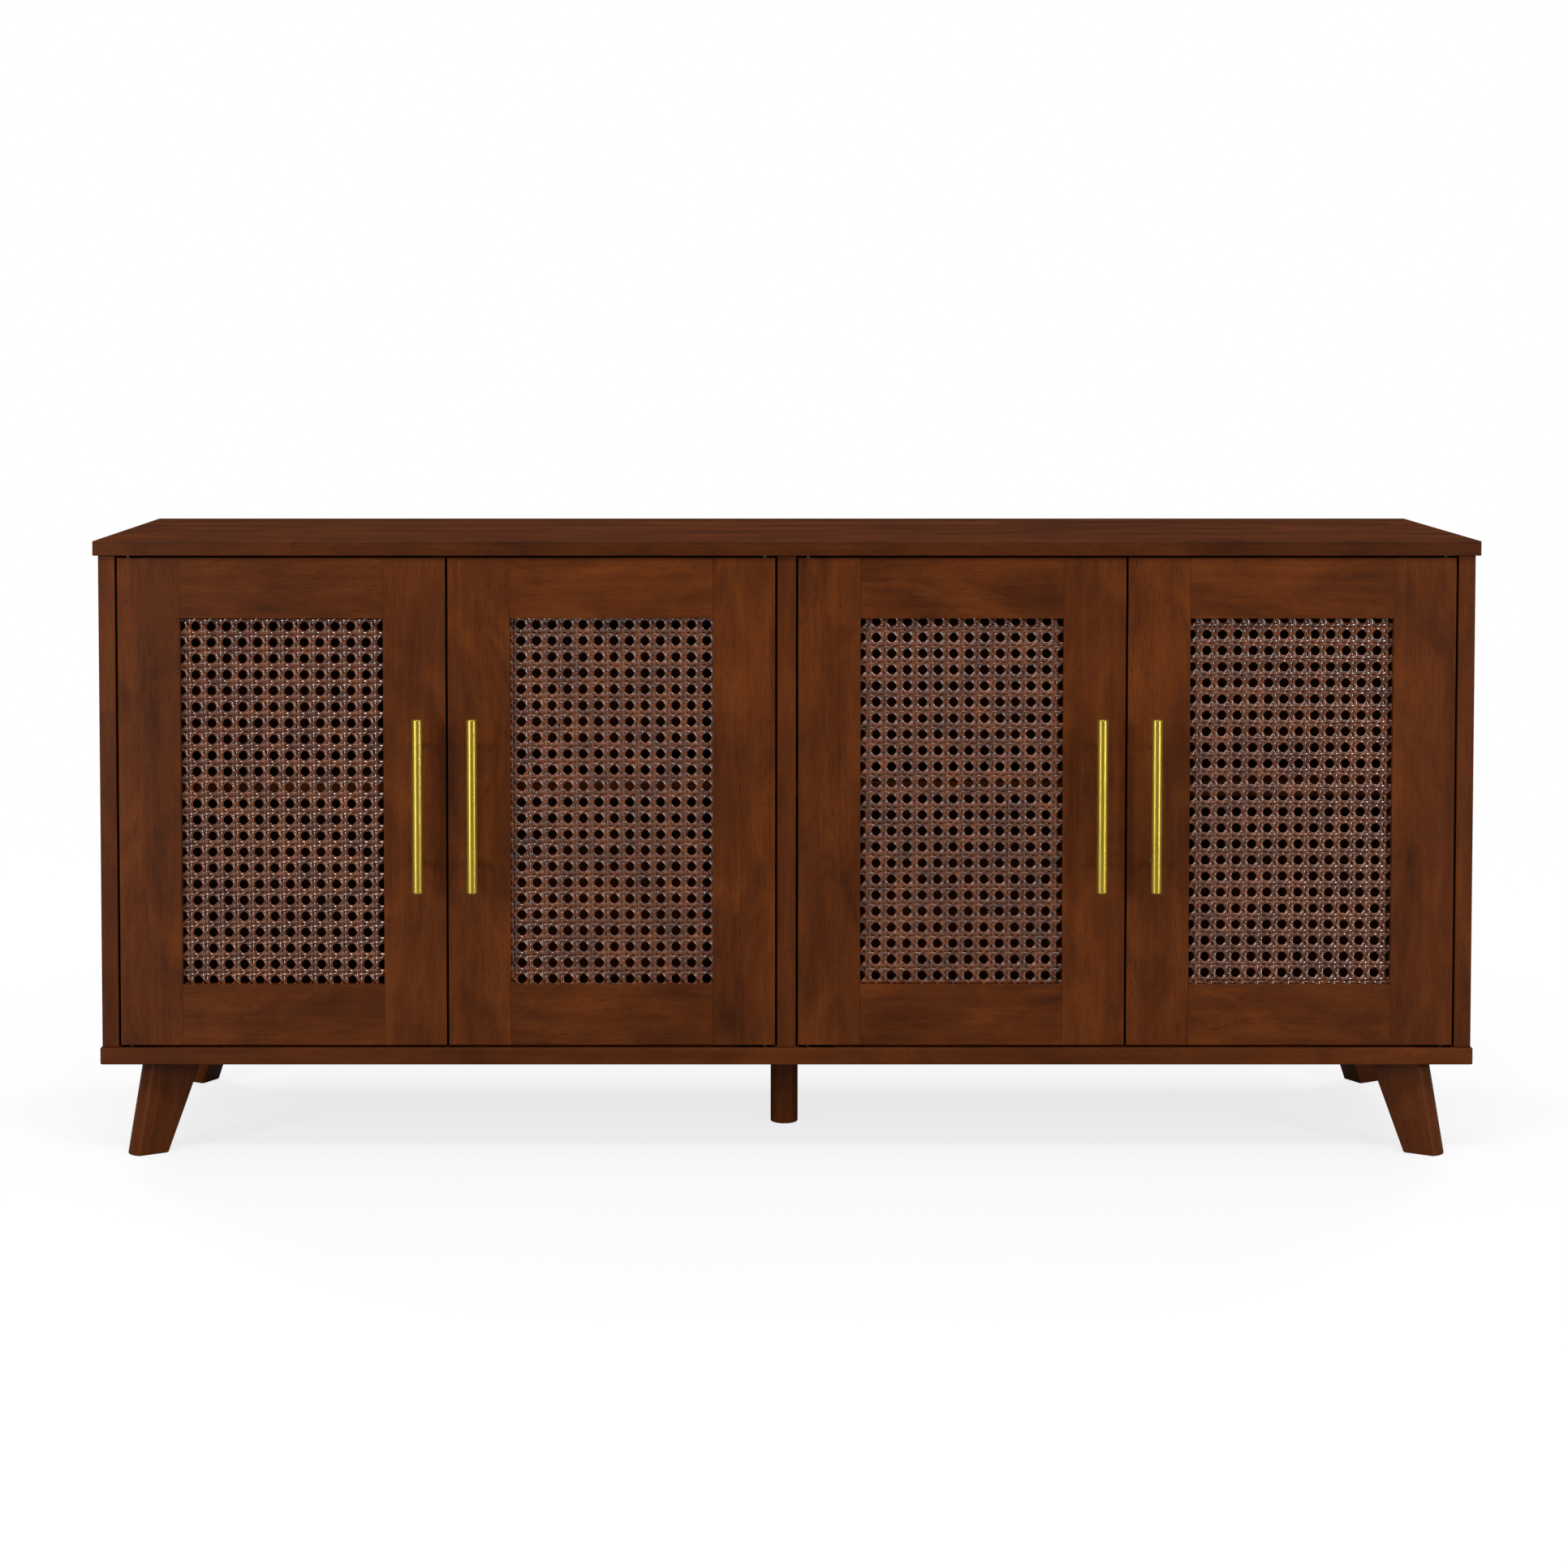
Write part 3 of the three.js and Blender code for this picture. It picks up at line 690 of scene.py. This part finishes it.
def make_pull(door, brass):
    """The bar pull: a turned bar with 0.7 mm chamfered ends on two round posts."""
    low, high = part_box(f"{door}_pull")
    radius = (high.x - low.x) / 2
    x, y = (low.x + high.x) / 2, low.y + radius
    chamfer = 0.7 * MM
    tip = [(radius * f, 0.0) for f in (0.3, 0.7)]
    tip += [(radius - chamfer, 0.0), (radius - chamfer * 0.3, chamfer * 0.3)]
    tip += [(radius, chamfer), (radius, chamfer + 0.5 * MM)]
    lower = [(r, low.z + z) for r, z in tip]
    upper = [(r, high.z - z) for r, z in reversed(tip)]
    profile = np.array(lower + upper)
    points = [lathe(profile, ROUND, x, y)]
    faces = [tube_faces(len(profile), ROUND)]
    count = len(points[0])
    middle = (low.z + high.z) / 2
    turn = np.linspace(0.0, 2 * math.pi, POST_ROUND, endpoint=False)
    stations = [(4.0, y + 2 * MM), (4.0, high.y - 3 * MM), (4.6, high.y - 2 * MM), (4.6, high.y)]
    for side in (-1, 1):
        z = middle + side * POST_REACH * MM
        rings = [
            np.column_stack([
                x + r * MM * np.cos(turn),
                np.full(POST_ROUND, depth),
                z - r * MM * np.sin(turn),
            ])
            for r, depth in stations
        ]
        points.append(np.concatenate(rings))
        faces.append(tube_faces(len(stations), POST_ROUND) + count)
        count += len(points[-1])
    piece = mesh_piece(f"{door}_pull_brass", np.concatenate(points), np.concatenate(faces), brass, door,
                       (f"{door}_pull",))
    rim = piece.modifiers.new("crisp_ends", "WEIGHTED_NORMAL")
    rim.keep_sharp = True
    rim.weight = 80


GLUE_GAP = 0.22  # mm added to each end of a rail, to close its joint with the stile


def make_door(door, number, wood, cane, brass):
    """Stiles run full height; rails sit between them with their grain across."""
    seed = 10 + 5 * number
    board_copy(f"{door}_hinge_stile", door, wood["frame"], 2, seed, 0.6)
    board_copy(f"{door}_pull_stile", door, wood["frame"], 2, seed + 1, 0.6)
    board_copy(f"{door}_top_rail", door, wood["frame"], 0, seed + 2, 0.6, GLUE_GAP)
    board_copy(f"{door}_bottom_rail", door, wood["frame"], 0, seed + 3, 0.6, GLUE_GAP)
    make_cane(door, number, cane)
    make_bead(door, wood, seed + 4)
    make_pull(door, brass)


# ---------------------------------------------------------------- small hardware


def dress_hardware(steel, plastic):
    """Pivots, sockets, strikes and catches keep their CAD shape and get their finish."""
    for name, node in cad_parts.items():
        if name.endswith(("_pivot", "_socket", "_strike")):
            node.data.materials.clear()
            node.data.materials.append(steel)
        elif name.startswith("catch_"):
            node.data.materials.clear()
            node.data.materials.append(plastic)


# ---------------------------------------------------------------- studio


def make_floor(material):
    """A level floor far larger than the view."""
    size = 30.0
    corners = np.array([(-size, -size, 0), (size, -size, 0), (size, size, 0), (-size, size, 0)], float)
    corners[:, 2] = CAD_BOX[0].z - 0.0002
    mesh = bpy.data.meshes.new("studio_floor")
    mesh.from_pydata(corners.tolist(), [], [(0, 1, 2, 3)])
    mesh.materials.append(material)
    floor = bpy.data.objects.new("studio_floor", mesh)
    bpy.context.scene.collection.objects.link(floor)


def soft_box(name, place, target, width, height, power, fill=True, gloss=False):
    """A rectangular area light aimed at a point, which lights by fill, by highlights or by both."""
    data = bpy.data.lights.new(name, "AREA")
    data.shape = "RECTANGLE"
    data.size, data.size_y = width, height
    data.energy = power
    lamp = bpy.data.objects.new(name, data)
    bpy.context.scene.collection.objects.link(lamp)
    lamp.visible_camera = False
    lamp.visible_diffuse = fill
    lamp.visible_glossy = gloss
    lamp.location = place
    lamp.rotation_euler = (Vector(target) - Vector(place)).to_track_quat("-Z", "Y").to_euler()


def make_world(front_light, rear_light, high_light):
    """White for the camera. For the rest: a front and a rear level round the horizon, bright overhead."""
    world = bpy.data.worlds.new("studio")
    bpy.context.scene.world = world
    world.use_nodes = True
    tree = world.node_tree
    seen = put(tree, "ShaderNodeLightPath").outputs["Is Camera Ray"]
    way = put(tree, "ShaderNodeTexCoord").outputs["Generated"]
    axes = put(tree, "ShaderNodeSeparateXYZ", None, Vector=way)
    level = stretch(tree, axes.outputs["Y"], -0.6, 0.9, front_light, rear_light)
    sky = maths(tree, "ADD", level, stretch(tree, axes.outputs["Z"], 0.45, 0.85, 0.0, high_light))
    power = put(tree, "ShaderNodeMix", {"data_type": "FLOAT"}, _0=seen, _2=sky, _3=1.0)
    background = tree.nodes["Background"]
    background.inputs["Color"].default_value = (1.0, 1.0, 1.0, 1.0)
    tree.links.new(power.outputs[0], background.inputs["Strength"])


def make_camera():
    """A long lens a little left of the middle, above the top, tipped slightly down and shifted down."""
    data = bpy.data.cameras.new("studio_camera")
    data.sensor_width = 36.0
    data.lens = 73.2
    data.shift_x, data.shift_y = 0.0303, -0.195
    data.clip_start, data.clip_end = 0.05, 100.0
    camera = bpy.data.objects.new("studio_camera", data)
    bpy.context.scene.collection.objects.link(camera)
    camera.location = (-0.0544, -3.618, 0.9096)
    camera.rotation_euler = (math.radians(90.0 - 2.78), 0.0, 0.0)
    bpy.context.scene.camera = camera


bpy.context.scene.view_settings.view_transform = "Standard"
stain_group = build_stain_group()
WOOD = {
    # The top's stain is set darker than the other boards': painted shade, offsetting the stronger light
    # and sheen it gets from above.
    "top": wood_material("stained_top_painted_shade", stain_group, 1.0, 0.8, 0.36),
    "board": wood_material("stained_board", stain_group, 1.0, 0.8, 0.46),
    "frame": wood_material("stained_frame", stain_group, 0.35, 1.3, 0.49),
    "leg": wood_material("stained_leg", stain_group, 0.0, 0.8, 0.46),
    # The middle leg's stain is set lighter than the other legs': painted light, making up for the shade it
    # stands in under the case.
    "post": wood_material("stained_post_painted_light", stain_group, 0.0, 0.8, 0.66),
}
make_camera()
make_floor(floor_material())
make_world(0.12, 0.0, 0.9)
soft_box("left_soft_box", (-3.0, -2.9, 1.3), (0, 0, 0.35), 0.35, 1.3, 56)
soft_box("right_soft_box", (3.0, -2.9, 1.3), (0, 0, 0.35), 0.35, 1.3, 46)
soft_box("front_soft_box", (0.0, -2.0, 3.0), (0, 0, 0.35), 2.0, 0.4, 44, gloss=True)
soft_box("rear_left_soft_box", (-2.2, 2.2, 3.0), (0, 0, 0.35), 0.8, 1.2, 44)
soft_box("rear_right_soft_box", (2.2, 2.2, 3.0), (0, 0, 0.35), 0.8, 1.2, 44)
soft_box("left_strip", (-1.6, -1.85, 0.34), (0, 0, 0.34), 0.26, 0.66, 10.5, fill=False, gloss=True)
soft_box("right_strip", (1.85, -1.6, 0.34), (0, 0, 0.34), 0.26, 0.66, 9.5, fill=False, gloss=True)

make_case(WOOD)
LEG_SIDES = {
    "leg_front_left": (-1, -1),
    "leg_front_right": (1, -1),
    "leg_rear_left": (-1, 1),
    "leg_rear_right": (1, 1),
}
for leg_number, (leg_node, (leg_x, leg_y)) in enumerate(LEG_SIDES.items()):
    make_leg(leg_node, leg_x, leg_y, WOOD, 50 + leg_number)
make_middle_leg(WOOD)
CANE = cane_material()
BRASS = brass_material()
for door_number, door_name in enumerate(DOORS):
    make_door(door_name, door_number, WOOD, CANE, BRASS)
dress_hardware(steel_material(), plastic_material())
